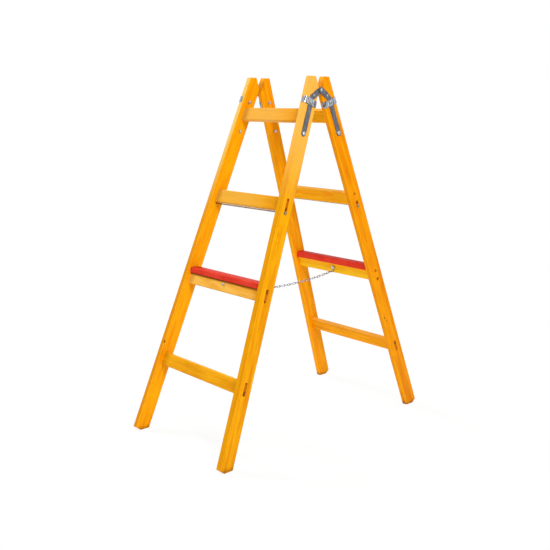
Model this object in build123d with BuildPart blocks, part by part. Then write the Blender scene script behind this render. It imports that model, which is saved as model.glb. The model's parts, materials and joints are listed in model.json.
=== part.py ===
"""Double-sided wooden rung ladder: two hinged pine frames held open by a chain.

The origin is on the floor, midway between the four feet. X runs across the rungs, -Y is the front frame and
Z is up. The front frame's right half is drawn, and mirroring gives the left half and the rear frame.
"""

from build123d import *
import os
from math import asin, atan2, cos, pi, radians, sin, tan

os.makedirs("parts", exist_ok=True)

# Driving dimensions, in millimetres and degrees

# Ladder as a whole
LEAN = 20.3  # each frame from the vertical, with the chain drawn out
FLARE = 3.8  # each stile outward from the frame's middle
TOP_WIDTH = 293.0  # over the stiles at the hinge pins' height
RUNG_COUNT = 4
RUNG_PITCH = 280.0
FIRST_RUNG_DROP = 93.0  # hinge pin to the first rung's middle, down the slope
FOOT_DROP = 235.0  # last rung's middle to the floor, down the slope

# Stiles
STILE_THICKNESS = 18.0
STILE_DEPTH = 52.0
STILE_SETBACK = 2.2  # hinge pin axis to the stile's inner edge
STILE_EDGE_RADIUS = 2.5
SOLE_DEPTH = 32.0  # level part of the foot, from the inner edge
FOOT_BEVEL_RISE = 6.5  # foot's outer corner above the sole's end, up the slope
TOP_RISE = 41.5  # level top above the hinge pin
TOP_FLAT = 25.0  # level part of the top
NOSE_RISE = 1.7  # where the top's inner bevel would meet the inner edge
NOSE_RADIUS = 27.0

# Rungs and their through tenons
RUNG_HEIGHT = 42.0
RUNG_THICKNESS = 19.0
RUNG_EDGE_RADIUS = 3.0
MORTISE_LENGTH = 42.0
TENON_THICKNESS = 10.0

# Tread covers, clipped over one rung of each frame
COVERED_RUNG = 3
COVER_RISE = 17.0  # above the rung
COVER_OUTER_LIP = 6.5  # down the rung's face
COVER_INNER_LIP = 4.0  # down the rung's back
COVER_WALL = 4.5
COVER_TOP_RADIUS = 9.0
COVER_CLEARANCE = 0.15
COVER_END_GAP = 0.5

# Tie rods under one rung of each frame
TIED_RUNG = 2
ROD_RADIUS = 2.0
ROD_GAP = 2.0  # under the rung
ROD_HEAD_RADIUS = 4.2
ROD_HEAD_HEIGHT = 2.2
ROD_WASHER_RADIUS = 5.6
ROD_WASHER_THICKNESS = 1.2

# Hinge leaves
LEAF_THICKNESS = 2.2
LEAF_WIDTH = 18.0
LEAF_BEND_RADIUS = 18.0  # along the middle of the gooseneck
KNEE_DROP = 35.0  # hinge pin to the gooseneck's knee, down the slope
CRANK_LENGTH = 5.0
EYE_STANDOFF = 1.8  # inner eye off the stile's face
HINGE_GAP = 0.35
RIVET_RADIUS = 3.0
RIVET_HEAD_RADIUS = 5.0
RIVET_HEAD_HEIGHT = 2.4
RIVET_TAIL_RADIUS = 4.5
RIVET_TAIL_HEIGHT = 0.8
RUNNING_CLEARANCE = 0.05
ARM_SCREW_GAP = 2.3  # crank to the screw's head
ARM_SCREW_RADIUS = 2.0
ARM_SCREW_LENGTH = 14.0
ARM_SCREW_HEAD_RADIUS = 4.0
ARM_SCREW_HEAD_HEIGHT = 2.2

# Bands round strap and stile
BAND_DROP = 49.0  # hinge pin to the band's middle, along the stile
BAND_HEIGHT = 20.0
BAND_THICKNESS = 1.2
BAND_LEG = 11.0  # past the stile's outer face

# Hinge bolts and nuts
LEAF_BOLT_DROP = 149.0  # hinge pin to the strap's end bolt
BOLT_RADIUS = 3.0
BOLT_HEAD_RADIUS = 6.0
BOLT_HEAD_HEIGHT = 2.8
BOLT_TAIL = 1.5  # past the nut
NUT_WIDTH = 10.0
NUT_HEIGHT = 5.0
FASTENER_CLEARANCE = 0.1

# Flats that stand for the round of small fasteners and of holes
HEAD_FLATS = 8
SHANK_FLATS = 8
WIRE_FLATS = 6

# Chain and its bolts
CHAIN_SAG = 21.0
WIRE_RADIUS = 1.0
LINK_PITCH = 12.0
LINK_PLAY = 0.1
LINK_INNER_WIDTH = 4.4
CHAIN_BOLT_RISE = 3.0  # above the rung's middle
CHAIN_BOLT_RADIUS = 1.95
CHAIN_BOLT_HEAD_RADIUS = 3.8
CHAIN_BOLT_HEAD_HEIGHT = 2.6
CHAIN_BOLT_TAIL = 1.0
CHAIN_WASHER_RADIUS = 7.0
CHAIN_WASHER_THICKNESS = 1.2
CHAIN_NUT_WIDTH = 7.0
CHAIN_NUT_HEIGHT = 3.2
CHAIN_NUT_WASHER_RADIUS = 4.8
CHAIN_NUT_WASHER_THICKNESS = 0.8
END_LINK_TILT = 12.0  # out from the rung's face
END_LINK_GAP = 1.0  # large washer to the next link

# Sizes that follow
lean = radians(LEAN)
flare = radians(FLARE)
rung_drops = [FIRST_RUNG_DROP + number * RUNG_PITCH for number in range(RUNG_COUNT)]
pivot_height = (rung_drops[-1] + FOOT_DROP) * cos(lean)
stile_middle = STILE_SETBACK + STILE_DEPTH / 2
stile_front = STILE_SETBACK + STILE_DEPTH
tenon_height = MORTISE_LENGTH - TENON_THICKNESS

# The front frame's planes: its face, with Y up the slope and Z outward, and its side, with X outward
ladder_face = Plane(origin=(0, 0, pivot_height), x_dir=(1, 0, 0), z_dir=(0, -cos(lean), sin(lean)))
ladder_side = Plane(origin=(0, 0, pivot_height), x_dir=ladder_face.z_dir, z_dir=(-1, 0, 0))

# The right stile's directions: square out of its outer face, and down its length
stile_out = ladder_face.x_dir * cos(flare) + ladder_face.y_dir * sin(flare)
stile_down = ladder_face.x_dir * sin(flare) - ladder_face.y_dir * cos(flare)


def outer_x(drop):
    """Half the width over the stiles, a distance down the slope from the hinge pins."""
    return TOP_WIDTH / 2 + tan(flare) * drop


def inner_x(drop):
    """Half the width between the stiles."""
    return outer_x(drop) - STILE_THICKNESS / cos(flare)


def floor_at(depth):
    """The floor on the frame's side plane."""
    return -(pivot_height + depth * sin(lean)) / cos(lean)


def top_at(depth):
    """The level top on the frame's side plane."""
    return (TOP_RISE - depth * sin(lean)) / cos(lean)


def stile_face(drop, depth, lift=0.0):
    """A plane on the right stile's outer face, or lifted off it, that looks outward."""
    place = ladder_face.from_local_coords((outer_x(drop), -drop, depth))
    return Plane(origin=place + stile_out * lift, x_dir=ladder_face.z_dir, z_dir=stile_out)


def stile_section(drop):
    """A plane across the right stile, with X to the frame's front and Y into the wood."""
    place = ladder_face.from_local_coords((outer_x(drop), -drop, 0))
    return Plane(origin=place, x_dir=ladder_face.z_dir, z_dir=stile_down)


def turned_over(plane):
    """The same place, looking the other way."""
    return Plane(origin=plane.origin, x_dir=plane.x_dir, z_dir=-plane.z_dir)


def across(top, bottom, edge):
    """Corners of a strip across the frame's face whose ends follow the stiles."""
    return [(-edge(top), -top), (edge(top), -top), (edge(bottom), -bottom), (-edge(bottom), -bottom)]


def save(piece, name):
    """Name a piece and write it."""
    piece.part.label = name
    export_step(piece.part, f"parts/{name}.step")


def save_front_and_rear(piece, name):
    """Write a piece of the front frame and its mirror image in the rear frame."""
    save(piece, f"front_{name}")
    with BuildPart() as rear_piece:
        mirror(piece.part, about=Plane.XZ)
    save(rear_piece, f"rear_{name}")


def left_of(piece):
    """The mirror image of a right-hand piece."""
    with BuildPart() as left_piece:
        mirror(piece.part, about=Plane.YZ)
    return left_piece


def right_and_left(piece):
    """Both of a pair of fasteners, as separate solids."""
    with BuildPart() as pair:
        add(piece.part)
        mirror(piece.part, about=Plane.YZ)
    return pair


def headed_pin(seat, head_radius, head_height, shank_radius, shank_length):
    """A round-headed fastener: the head sits on a plane, and the shank runs in behind it."""
    with BuildPart() as pin:
        with BuildSketch(seat):
            RegularPolygon(head_radius, HEAD_FLATS)
        extrude(amount=head_height)
        crown = pin.faces().sort_by(Axis(seat.origin, seat.z_dir))[-1]
        chamfer(crown.edges(), length=head_height / 2, length2=head_height)
        with BuildSketch(turned_over(seat)):
            RegularPolygon(shank_radius, SHANK_FLATS)
        extrude(amount=shank_length)
    return pin


def hexagon_nut(seat, width, height, bore_radius):
    """A nut that stands on a plane."""
    with BuildPart() as nut:
        with BuildSketch(seat):
            RegularPolygon(width / 2, 6, major_radius=False)
            RegularPolygon(bore_radius, SHANK_FLATS, mode=Mode.SUBTRACT)
        extrude(amount=height)
    return nut


def washer(seat, radius, hole_radius, thickness):
    """A flat ring that lies on a plane."""
    with BuildPart() as ring:
        with BuildSketch(seat):
            RegularPolygon(radius, HEAD_FLATS)
            RegularPolygon(hole_radius, SHANK_FLATS, mode=Mode.SUBTRACT)
        extrude(amount=thickness)
    return ring


# Hinge arms: they leave the pin at the knee's angle, crank in where they part when the ladder is shut,
# and carry a screw just past the crank
knee = (stile_middle, -KNEE_DROP)
knee_angle = atan2(stile_middle, KNEE_DROP)
crank_start = (LEAF_WIDTH / 2 / cos(knee_angle) + HINGE_GAP) / tan(knee_angle)
crank_end = crank_start + CRANK_LENGTH
arm_screw_drop = crank_end + ARM_SCREW_GAP + ARM_SCREW_HEAD_RADIUS
arm_screw_depth = arm_screw_drop * tan(knee_angle)

# Where the other fasteners pass through the wood
rod_drop = rung_drops[TIED_RUNG - 1] + RUNG_HEIGHT / 2 + ROD_GAP + ROD_RADIUS
chain_bolt_drop = rung_drops[COVERED_RUNG - 1] - CHAIN_BOLT_RISE
rung_back = stile_middle - RUNG_THICKNESS / 2
rung_front = stile_middle + RUNG_THICKNESS / 2

# Stiles: rounded stock cut to the side outline, then mortised and drilled
foot_back = (STILE_SETBACK, floor_at(STILE_SETBACK))
sole_end = (STILE_SETBACK + SOLE_DEPTH, floor_at(STILE_SETBACK + SOLE_DEPTH))
foot_front = (stile_front, sole_end[1] + FOOT_BEVEL_RISE)
top_front = (stile_front, top_at(stile_front))
bevel_depth = stile_front - TOP_FLAT * cos(lean)
bevel_top = (bevel_depth, top_at(bevel_depth))
nose = (STILE_SETBACK, NOSE_RISE)
stock_top = TOP_RISE / cos(lean)
stock_length = (stock_top - sole_end[1]) / cos(flare) + STILE_THICKNESS

with BuildPart() as right_stile:
    with BuildSketch(stile_section(-stock_top)):
        with Locations((stile_middle, STILE_THICKNESS / 2)):
            RectangleRounded(STILE_DEPTH, STILE_THICKNESS, STILE_EDGE_RADIUS)
    extrude(amount=stock_length)
    with BuildSketch(ladder_side):
        with BuildLine():
            FilletPolyline(
                foot_back,
                sole_end,
                foot_front,
                top_front,
                bevel_top,
                nose,
                radius=[0, 0, 0, 0, 0, NOSE_RADIUS],
                close=True,
            )
        make_face()
    extrude(amount=-2 * outer_x(stock_length), mode=Mode.INTERSECT)
    with BuildSketch(ladder_side):
        for drop in rung_drops:
            with Locations((stile_middle, -drop)):
                Rectangle(TENON_THICKNESS, tenon_height)
                with GridLocations(0, tenon_height, 1, 2):
                    RegularPolygon(TENON_THICKNESS / 2, SHANK_FLATS)
        with Locations((stile_middle, -rod_drop)):
            RegularPolygon(ROD_RADIUS + FASTENER_CLEARANCE, SHANK_FLATS)
    extrude(amount=-2 * outer_x(stock_length), mode=Mode.SUBTRACT)
    with BuildSketch(stile_face(BAND_DROP, stile_middle), stile_face(LEAF_BOLT_DROP, stile_middle)):
        RegularPolygon(BOLT_RADIUS + FASTENER_CLEARANCE, SHANK_FLATS)
    extrude(amount=-2 * STILE_THICKNESS, mode=Mode.SUBTRACT)
    with BuildSketch(stile_face(arm_screw_drop, arm_screw_depth)):
        RegularPolygon(ARM_SCREW_RADIUS, SHANK_FLATS)
    extrude(amount=LEAF_THICKNESS - ARM_SCREW_LENGTH, mode=Mode.SUBTRACT)

save_front_and_rear(right_stile, "right_stile")
save_front_and_rear(left_of(right_stile), "left_stile")

# Rungs: shouldered against the stiles, with tenons flush with the stiles' outer faces
for number, drop in enumerate(rung_drops, 1):
    with BuildPart() as rung:
        with BuildSketch(ladder_face.offset(rung_back)):
            with BuildLine():
                Polyline(*across(drop - RUNG_HEIGHT / 2, drop + RUNG_HEIGHT / 2, inner_x), close=True)
            make_face()
        extrude(amount=RUNG_THICKNESS)
        fillet(rung.edges().filter_by(Axis.X), RUNG_EDGE_RADIUS)
        with BuildSketch(ladder_face.offset(stile_middle - TENON_THICKNESS / 2)):
            with BuildLine():
                Polyline(*across(drop - tenon_height / 2, drop + tenon_height / 2, outer_x), close=True)
            make_face()
        extrude(amount=TENON_THICKNESS)
        if number == COVERED_RUNG:
            with BuildSketch(ladder_face):
                with Locations((0, -chain_bolt_drop)):
                    RegularPolygon(CHAIN_BOLT_RADIUS + FASTENER_CLEARANCE, SHANK_FLATS)
            extrude(amount=stile_front, mode=Mode.SUBTRACT)
    save_front_and_rear(rung, f"rung_{number}")

# Tread covers: a round-topped profile with a pocket for the rung, cut to the stiles' flare
covered_drop = rung_drops[COVERED_RUNG - 1]
rung_top = covered_drop - RUNG_HEIGHT / 2
cover_top = rung_top - COVER_RISE
outer_lip_end = rung_top + COVER_OUTER_LIP
inner_lip_end = rung_top + COVER_INNER_LIP
cover_bottom = max(outer_lip_end, inner_lip_end)
cover_half_width = RUNG_THICKNESS / 2 + COVER_CLEARANCE + COVER_WALL
pocket_half_width = RUNG_THICKNESS / 2 + COVER_CLEARANCE

with BuildPart() as tread_cover:
    with BuildSketch(ladder_side):
        with BuildLine():
            FilletPolyline(
                (stile_middle - cover_half_width, -inner_lip_end),
                (stile_middle - cover_half_width, -cover_top),
                (stile_middle + cover_half_width, -cover_top),
                (stile_middle + cover_half_width, -outer_lip_end),
                (stile_middle + pocket_half_width, -outer_lip_end),
                (stile_middle + pocket_half_width, -rung_top + COVER_CLEARANCE),
                (stile_middle - pocket_half_width, -rung_top + COVER_CLEARANCE),
                (stile_middle - pocket_half_width, -inner_lip_end),
                radius=[0, COVER_TOP_RADIUS, COVER_TOP_RADIUS, 0, 0, RUNG_EDGE_RADIUS, RUNG_EDGE_RADIUS, 0],
                close=True,
            )
        make_face()
    extrude(amount=inner_x(cover_bottom), both=True)
    with BuildSketch(ladder_face):
        with BuildLine():
            Polyline(
                *across(cover_top, cover_bottom, lambda drop: inner_x(drop) - COVER_END_GAP), close=True
            )
        make_face()
    extrude(amount=stile_front, mode=Mode.INTERSECT)

save_front_and_rear(tread_cover, "tread_cover")

# Tie rods: a straight rod whose ends are spread into round heads over washers
rod_seat = stile_face(rod_drop, stile_middle)
rod_head_seat = stile_face(rod_drop, stile_middle, ROD_WASHER_THICKNESS)
rod_head = headed_pin(rod_head_seat, ROD_HEAD_RADIUS, ROD_HEAD_HEIGHT, ROD_RADIUS, ROD_WASHER_THICKNESS)

with BuildPart() as tie_rod:
    with BuildSketch(ladder_side):
        with Locations((stile_middle, -rod_drop)):
            RegularPolygon(ROD_RADIUS, SHANK_FLATS)
    extrude(amount=outer_x(rod_drop), both=True)
    add(rod_head.part)
    mirror(rod_head.part, about=Plane.YZ)

save_front_and_rear(tie_rod, "tie_rod")

rod_washer = washer(
    rod_seat, ROD_WASHER_RADIUS, ROD_RADIUS + FASTENER_CLEARANCE, ROD_WASHER_THICKNESS
)
save_front_and_rear(right_and_left(rod_washer), "tie_rod_washers")

# Hinge leaves: a cranked strip cut to the outline of strap, gooseneck and eye
leaf_end = LEAF_BOLT_DROP + LEAF_WIDTH / 2
front_eye_x = TOP_WIDTH / 2 + EYE_STANDOFF
rear_eye_x = front_eye_x + LEAF_THICKNESS + HINGE_GAP


def hinge_leaf(eye_x, eye_hole_radius):
    """The front frame's right leaf, with its eye's inner face a given distance from the ladder's middle."""
    with BuildPart() as leaf:
        with BuildSketch(ladder_face.offset(-LEAF_WIDTH)):
            with BuildLine():
                Polyline(
                    (eye_x, LEAF_WIDTH),
                    (eye_x, -crank_start),
                    (outer_x(crank_end), -crank_end),
                    (outer_x(leaf_end), -leaf_end),
                    (outer_x(leaf_end) + LEAF_THICKNESS, -leaf_end),
                    (outer_x(crank_end) + LEAF_THICKNESS, -crank_end),
                    (eye_x + LEAF_THICKNESS, -crank_start),
                    (eye_x + LEAF_THICKNESS, LEAF_WIDTH),
                    close=True,
                )
            make_face()
        extrude(amount=LEAF_WIDTH + stile_front)
        with BuildSketch(ladder_side):
            with BuildLine():
                FilletPolyline((0, 0), knee, (stile_middle, -LEAF_BOLT_DROP), radius=LEAF_BEND_RADIUS)
                offset(amount=LEAF_WIDTH / 2, mode=Mode.REPLACE)
            make_face()
        extrude(amount=-TOP_WIDTH, mode=Mode.INTERSECT)
        with BuildSketch(ladder_side):
            Circle(eye_hole_radius)
        extrude(amount=-TOP_WIDTH, mode=Mode.SUBTRACT)
        with BuildSketch(stile_face(BAND_DROP, stile_middle), stile_face(LEAF_BOLT_DROP, stile_middle)):
            RegularPolygon(BOLT_RADIUS + FASTENER_CLEARANCE, SHANK_FLATS)
        extrude(amount=2 * LEAF_THICKNESS, both=True, mode=Mode.SUBTRACT)
        with BuildSketch(stile_face(arm_screw_drop, arm_screw_depth)):
            RegularPolygon(ARM_SCREW_RADIUS + FASTENER_CLEARANCE, SHANK_FLATS)
        extrude(amount=2 * LEAF_THICKNESS, both=True, mode=Mode.SUBTRACT)
    return leaf


front_leaf = hinge_leaf(front_eye_x, RIVET_RADIUS)
save(front_leaf, "front_right_hinge_leaf")
save(left_of(front_leaf), "front_left_hinge_leaf")

outer_eye_leaf = hinge_leaf(rear_eye_x, RIVET_RADIUS + RUNNING_CLEARANCE)
with BuildPart() as rear_leaf:
    mirror(outer_eye_leaf.part, about=Plane.XZ)
save(rear_leaf, "rear_right_hinge_leaf")
save(left_of(rear_leaf), "rear_left_hinge_leaf")

# Hinge pins: rivets held in the front leaves, on which the rear leaves turn
rivet_seat_x = rear_eye_x + LEAF_THICKNESS + HINGE_GAP
rivet_seat = Plane(origin=(rivet_seat_x, 0, pivot_height), x_dir=(0, 1, 0), z_dir=(1, 0, 0))
rivet_tail_seat = Plane(origin=(front_eye_x, 0, pivot_height), x_dir=(0, 1, 0), z_dir=(-1, 0, 0))

with BuildPart() as hinge_rivet:
    with BuildSketch(rivet_seat):
        RegularPolygon(RIVET_HEAD_RADIUS, HEAD_FLATS)
    extrude(amount=RIVET_HEAD_HEIGHT)
    crown = hinge_rivet.faces().sort_by(Axis.X)[-1]
    chamfer(crown.edges(), length=RIVET_HEAD_HEIGHT / 2, length2=RIVET_HEAD_HEIGHT)
    with BuildSketch(rivet_tail_seat):
        RegularPolygon(RIVET_TAIL_RADIUS, HEAD_FLATS)
    extrude(amount=RIVET_TAIL_HEIGHT)
    with BuildSketch(rivet_tail_seat):
        Circle(RIVET_RADIUS)
    extrude(amount=front_eye_x - rivet_seat_x)

save(right_and_left(hinge_rivet), "hinge_pin_rivets")

arm_screw = headed_pin(
    stile_face(arm_screw_drop, arm_screw_depth, LEAF_THICKNESS),
    ARM_SCREW_HEAD_RADIUS,
    ARM_SCREW_HEAD_HEIGHT,
    ARM_SCREW_RADIUS,
    ARM_SCREW_LENGTH,
)
save_front_and_rear(right_and_left(arm_screw), "hinge_arm_screws")

# Bands: a strip bent over the strap and down both narrow sides of the stile
# Its bends end where the stile's rounded edges do
band_lift = LEAF_THICKNESS + BAND_THICKNESS
bend_radius = LEAF_THICKNESS + STILE_EDGE_RADIUS
outer_bend_radius = bend_radius + BAND_THICKNESS

with BuildPart() as band:
    with BuildSketch(stile_section(BAND_DROP)):
        with BuildLine():
            FilletPolyline(
                (STILE_SETBACK - BAND_THICKNESS, BAND_LEG),
                (STILE_SETBACK - BAND_THICKNESS, -band_lift),
                (stile_front + BAND_THICKNESS, -band_lift),
                (stile_front + BAND_THICKNESS, BAND_LEG),
                (stile_front, BAND_LEG),
                (stile_front, -LEAF_THICKNESS),
                (STILE_SETBACK, -LEAF_THICKNESS),
                (STILE_SETBACK, BAND_LEG),
                radius=[0, outer_bend_radius, outer_bend_radius, 0, 0, bend_radius, bend_radius, 0],
                close=True,
            )
        make_face()
    extrude(amount=BAND_HEIGHT / 2, both=True)
    with BuildSketch(stile_face(BAND_DROP, stile_middle)):
        RegularPolygon(BOLT_RADIUS + FASTENER_CLEARANCE, SHANK_FLATS)
    extrude(amount=2 * band_lift, mode=Mode.SUBTRACT)

save_front_and_rear(band, "right_band")
save_front_and_rear(left_of(band), "left_band")

# Hinge bolts: round heads outside, hexagon nuts on the stiles' inner faces
for name, drop, lift in [("band", BAND_DROP, band_lift), ("strap", LEAF_BOLT_DROP, LEAF_THICKNESS)]:
    bolt_length = lift + STILE_THICKNESS + NUT_HEIGHT + BOLT_TAIL
    bolt = headed_pin(
        stile_face(drop, stile_middle, lift), BOLT_HEAD_RADIUS, BOLT_HEAD_HEIGHT, BOLT_RADIUS, bolt_length
    )
    save_front_and_rear(right_and_left(bolt), f"{name}_bolts")
    nut_seat = turned_over(stile_face(drop, stile_middle, -STILE_THICKNESS))
    nut = hexagon_nut(nut_seat, NUT_WIDTH, NUT_HEIGHT, BOLT_RADIUS)
    save_front_and_rear(right_and_left(nut), f"{name}_nuts")

# Chain bolts: the head and a large washer hold the chain's end link off the rung's inner face
# The end link hangs just low enough for the next link to pass under the washer
tilt = radians(END_LINK_TILT)
end_link_top_drop = chain_bolt_drop - CHAIN_BOLT_RADIUS - WIRE_RADIUS - LINK_PLAY
end_link_top_depth = rung_back - WIRE_RADIUS / cos(tilt) - LINK_PLAY
link_half_width = LINK_INNER_WIDTH / 2 + 2 * WIRE_RADIUS
end_link_bottom_drop = chain_bolt_drop + CHAIN_WASHER_RADIUS + END_LINK_GAP + link_half_width
end_link_length = (end_link_bottom_drop - end_link_top_drop) / cos(tilt)
leg_reach = chain_bolt_drop + CHAIN_WASHER_RADIUS - end_link_top_drop
washer_depth = end_link_top_depth - leg_reach * tan(tilt) - WIRE_RADIUS / cos(tilt) - LINK_PLAY


def rung_plane(depth, direction):
    """A plane at the chain bolt, at a depth in the frame, that looks outward (1) or inward (-1)."""
    place = ladder_face.from_local_coords((0, -chain_bolt_drop, depth))
    return Plane(origin=place, x_dir=(1, 0, 0), z_dir=ladder_face.z_dir * direction)


chain_washer = washer(
    rung_plane(washer_depth, -1),
    CHAIN_WASHER_RADIUS,
    CHAIN_BOLT_RADIUS + FASTENER_CLEARANCE,
    CHAIN_WASHER_THICKNESS,
)
save_front_and_rear(chain_washer, "chain_washer")

nut_washer = washer(
    rung_plane(rung_front, 1),
    CHAIN_NUT_WASHER_RADIUS,
    CHAIN_BOLT_RADIUS + FASTENER_CLEARANCE,
    CHAIN_NUT_WASHER_THICKNESS,
)
save_front_and_rear(nut_washer, "chain_nut_washer")

chain_nut_depth = rung_front + CHAIN_NUT_WASHER_THICKNESS
chain_nut = hexagon_nut(rung_plane(chain_nut_depth, 1), CHAIN_NUT_WIDTH, CHAIN_NUT_HEIGHT, CHAIN_BOLT_RADIUS)
save_front_and_rear(chain_nut, "chain_nut")

chain_head_depth = washer_depth - CHAIN_WASHER_THICKNESS
chain_bolt_end = chain_nut_depth + CHAIN_NUT_HEIGHT + CHAIN_BOLT_TAIL
chain_bolt = headed_pin(
    rung_plane(chain_head_depth, -1),
    CHAIN_BOLT_HEAD_RADIUS,
    CHAIN_BOLT_HEAD_HEIGHT,
    CHAIN_BOLT_RADIUS,
    chain_bolt_end - chain_head_depth,
)
save_front_and_rear(chain_bolt, "chain_bolt")

# Chain: end links hang on the bolts, and the links between them follow a shallow arc
# A link joins its neighbours wire to wire, so the arc runs between the backs of the end links' lower bends
end_link_top = ladder_face.from_local_coords((0, -end_link_top_drop, end_link_top_depth))
end_link_down = ladder_face.y_dir * -cos(tilt) - ladder_face.z_dir * sin(tilt)
end_link_middle = end_link_top + end_link_down * (end_link_length / 2)
lower_bend = end_link_top + end_link_down * end_link_length
half_span = WIRE_RADIUS - lower_bend.Y
arc_radius = (half_span**2 + CHAIN_SAG**2) / (2 * CHAIN_SAG)
arc_half_angle = asin(half_span / arc_radius)
link_count = 2 * int(arc_radius * arc_half_angle / LINK_PITCH) + 1
link_angle = 2 * arc_half_angle / link_count
link_spacing = 2 * arc_radius * sin(link_angle / 2)
link_circle = arc_radius * cos(link_angle / 2)
arc_centre_height = lower_bend.Z + arc_radius - CHAIN_SAG


def chain_link(place, inner_length):
    """One link of wire that lies in a plane, lengthwise along its X, with bends of three flats."""
    bend_radius = LINK_INNER_WIDTH / 2 + WIRE_RADIUS
    straight = inner_length - LINK_INNER_WIDTH
    corner = bend_radius / cos(pi / 8)
    corner_angles = [pi * step / 8 for step in (-3, -1, 1, 3)]
    bend = [(straight / 2 + corner * cos(angle), corner * sin(angle)) for angle in corner_angles]
    other_bend = [(-x, -y) for x, y in bend]
    with BuildPart() as link:
        with BuildLine(place) as path:
            Polyline(*bend, *other_bend, close=True)
        side = path.edges().sort_by(SortBy.LENGTH)[-1]
        with BuildSketch(Plane(origin=side @ 0.5, x_dir=place.z_dir, z_dir=side % 0.5)):
            RegularPolygon(WIRE_RADIUS, WIRE_FLATS)
        sweep(transition=Transition.RIGHT)
    return link.part


across_x = Vector(1, 0, 0)
end_link_plane = Plane(origin=end_link_middle, x_dir=end_link_down, z_dir=end_link_down.cross(across_x))
end_link = chain_link(end_link_plane, end_link_length - 2 * WIRE_RADIUS)

links = []
for number in range(link_count):
    angle = -arc_half_angle + (number + 0.5) * link_angle
    middle = (0, link_circle * sin(angle), arc_centre_height - link_circle * cos(angle))
    along = Vector(0, cos(angle), sin(angle))
    facing = across_x if number % 2 == 0 else across_x.cross(along)
    links.append(chain_link(Plane(origin=middle, x_dir=along, z_dir=facing), link_spacing + LINK_PLAY))

with BuildPart() as chain:
    add(end_link)
    mirror(end_link, about=Plane.XZ)
    add(links)

save(chain, "safety_chain")

print(f"hinge pins {pivot_height:.1f} mm up, {link_count + 2} chain links {link_spacing:.2f} mm apart")
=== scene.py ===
# %% [markdown]
# # A double-sided wooden ladder
# Two pine frames lean against each other on a pair of steel hinges, and a thin chain stops them sliding
# apart. The exact solids of every piece are already there. This lesson loads them, leaves the woodwork,
# the hinge leaves and the bands as they are, and gives each its real surface. It models the red covers
# again, which stand level on their sloping rungs, and the small round hardware, smoother than a collision
# model needs.

# %% Load the ladder's solids
import json
import math

import bmesh
import bpy
from mathutils import Matrix, Vector

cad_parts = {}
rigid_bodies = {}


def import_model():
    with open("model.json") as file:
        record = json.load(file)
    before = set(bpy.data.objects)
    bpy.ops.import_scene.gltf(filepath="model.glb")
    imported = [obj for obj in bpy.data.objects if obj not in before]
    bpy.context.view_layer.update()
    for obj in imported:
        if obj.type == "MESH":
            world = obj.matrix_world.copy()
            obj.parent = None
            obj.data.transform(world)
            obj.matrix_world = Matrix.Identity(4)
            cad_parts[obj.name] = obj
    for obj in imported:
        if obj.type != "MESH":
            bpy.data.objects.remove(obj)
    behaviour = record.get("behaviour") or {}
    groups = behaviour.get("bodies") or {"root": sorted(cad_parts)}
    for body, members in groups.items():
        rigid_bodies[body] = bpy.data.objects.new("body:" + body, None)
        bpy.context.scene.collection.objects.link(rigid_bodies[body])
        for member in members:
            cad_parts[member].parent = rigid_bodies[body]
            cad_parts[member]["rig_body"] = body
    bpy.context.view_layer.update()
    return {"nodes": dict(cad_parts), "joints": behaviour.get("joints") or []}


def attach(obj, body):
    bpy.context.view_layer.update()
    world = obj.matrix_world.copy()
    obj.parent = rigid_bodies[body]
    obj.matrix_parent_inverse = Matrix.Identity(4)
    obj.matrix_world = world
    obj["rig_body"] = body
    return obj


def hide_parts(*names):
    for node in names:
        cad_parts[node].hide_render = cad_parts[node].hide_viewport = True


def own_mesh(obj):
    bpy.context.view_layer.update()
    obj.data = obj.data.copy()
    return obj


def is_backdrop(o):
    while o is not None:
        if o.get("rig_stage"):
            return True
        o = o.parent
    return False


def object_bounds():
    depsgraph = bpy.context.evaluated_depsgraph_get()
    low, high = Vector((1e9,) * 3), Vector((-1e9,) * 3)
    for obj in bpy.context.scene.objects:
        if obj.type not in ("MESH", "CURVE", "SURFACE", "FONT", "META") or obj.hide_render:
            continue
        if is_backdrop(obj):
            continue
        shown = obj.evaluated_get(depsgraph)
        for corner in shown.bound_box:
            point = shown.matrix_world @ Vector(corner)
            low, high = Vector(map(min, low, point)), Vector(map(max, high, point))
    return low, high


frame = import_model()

nodes = frame["nodes"]
MM = 0.001

# %% [markdown]
# ## The ladder's own lines
# Wood grain runs along each board, and bolts stand square to the face they go through. So the script needs
# the few directions that the joiner set out: how far each frame leans, how far the stiles spread, and
# where the hinge pins are. They could be measured on the boards, but the hinge already tells most of them:
# the lean is half of what it can close, and its place is that of the pins.

# %% Directions of the boards
fold = frame["joints"][0]
LEAN = math.radians(fold["range_deg"][1]) / 2
FLARE = math.radians(3.8)  # how far each stile spreads towards its foot
HINGE = Vector(fold["pos_m"])
ACROSS = Vector((1, 0, 0))
ENDS = {"front": 1, "rear": -1}
SIDES = {"right": 1, "left": -1}


def face_out(end):
    """Square out of a frame's face: forward and up for the front frame, backward and up for the rear."""
    return Vector((0, -ENDS[end] * math.cos(LEAN), math.sin(LEAN)))


def slope_down(end):
    """Down the slope of a frame."""
    return Vector((0, -ENDS[end] * math.sin(LEAN), -math.cos(LEAN)))


def stile_down(end, side):
    """Along a stile, from top to foot."""
    return ACROSS * (SIDES[side] * math.sin(FLARE)) + slope_down(end) * math.cos(FLARE)


def stile_out(end, side):
    """Square out of a stile's outer face."""
    return ACROSS * (SIDES[side] * math.cos(FLARE)) - slope_down(end) * math.sin(FLARE)


print(f"lean {math.degrees(LEAN):.2f} degrees, hinge pins {HINGE.z:.4f} m up")

# %% [markdown]
# ## Camera
# The view was solved from the photograph's own lines: a camera at about head height of the ladder, in
# front of it and to the right, with a slightly long lens. A camera that is only aimed at a point would
# stand dead upright, and this one has a little roll. So its three directions are written down: right, up
# and back. Its lens is written as the focal length in pixels of a 550 pixel frame.

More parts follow.
